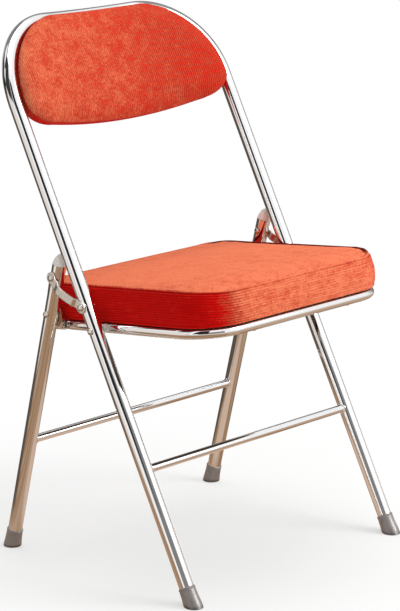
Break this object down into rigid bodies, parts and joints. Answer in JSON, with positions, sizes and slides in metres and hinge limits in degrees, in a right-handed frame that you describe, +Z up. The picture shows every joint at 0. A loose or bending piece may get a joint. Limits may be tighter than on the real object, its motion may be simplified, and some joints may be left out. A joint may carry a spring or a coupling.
{
  "type": "padded folding chair",
  "caption": "Folding chair of bent chrome tube with a corduroy seat and backrest; side links let the rear legs and the seat fold flat together.",
  "frame": {"origin": "bottom centre of the unfolded chair, on the floor", "axes": "+Z up, the chair faces -Y, X across its width; left in names is -X"},
  "size_m": [0.465, 0.4509, 0.7838],
  "materials": {
    "chrome": "bright chrome plate on steel tube",
    "zinc_plate": "zinc-plated steel",
    "corduroy": "fine-wale red-orange corduroy over foam",
    "plywood": "sanded plywood",
    "foot_plastic": "soft grey-brown moulded plastic",
    "cap_plastic": "pale grey-beige moulded plastic",
    "nylon": "natural nylon"
  },
  "bodies": {
    "front_frame": {"front_frame_tube": "chrome", "front_crossbar": "chrome", "front_foot_left": "foot_plastic", "front_foot_right": "foot_plastic", "seat_rivet_left": "zinc_plate", "seat_rivet_right": "zinc_plate", "seat_bush_left": "nylon", "seat_bush_right": "nylon", "link_rivet_left": "zinc_plate", "link_rivet_right": "zinc_plate", "back_board": "plywood", "back_cushion": "corduroy", "back_tab_lower_left": "zinc_plate", "back_tab_lower_right": "zinc_plate", "back_tab_upper_left": "zinc_plate", "back_tab_upper_right": "zinc_plate", "back_screw_lower_left": "zinc_plate", "back_screw_lower_right": "zinc_plate", "back_screw_upper_left": "zinc_plate", "back_screw_upper_right": "zinc_plate"},
    "seat": {"seat_frame_tube": "chrome", "seat_bracket_left": "zinc_plate", "seat_bracket_right": "zinc_plate", "seat_board": "plywood", "seat_cushion": "corduroy", "seat_screw_front_left": "zinc_plate", "seat_screw_front_right": "zinc_plate", "seat_screw_rear_left": "zinc_plate", "seat_screw_rear_right": "zinc_plate"},
    "link_left": {"link_left": "chrome"},
    "link_right": {"link_right": "chrome"},
    "rear_frame": {"rear_leg_left": "chrome", "rear_leg_right": "chrome", "rear_crossbar": "chrome", "rear_foot_left": "foot_plastic", "rear_foot_right": "foot_plastic", "rear_cap_left": "cap_plastic", "rear_cap_right": "cap_plastic", "rear_seat_rivet_left": "zinc_plate", "rear_seat_rivet_right": "zinc_plate", "rear_link_rivet_left": "zinc_plate", "rear_link_rivet_right": "zinc_plate"}
  },
  "joints": [
    {"name": "seat_fold", "type": "hinge", "parent": "front_frame", "child": "seat", "pos_m": [0, -0.02029, 0.365], "axis": [-1, 0, 0], "range_deg": [0, 104]},
    {"name": "link_left_swing", "type": "hinge", "parent": "front_frame", "child": "link_left", "pos_m": [-0.2283, -0.00344, 0.39738], "axis": [-1, 0, 0], "range_deg": [0, 126.1]},
    {"name": "link_right_swing", "type": "hinge", "parent": "front_frame", "child": "link_right", "pos_m": [0.2283, -0.00344, 0.39738], "axis": [-1, 0, 0], "range_deg": [0, 126.1]},
    {"name": "rear_frame_swing", "type": "hinge", "parent": "link_left", "child": "rear_frame", "pos_m": [0, 0.05716, 0.43092], "axis": [-1, 0, 0], "range_deg": [-85.5, 0]}
  ],
  "couplings": [
    {"joint": "link_left_swing", "follows": "seat_fold", "ratio": 1.212},
    {"joint": "link_right_swing", "follows": "seat_fold", "ratio": 1.212},
    {"joint": "rear_frame_swing", "follows": "seat_fold", "ratio": -0.822}
  ]
}
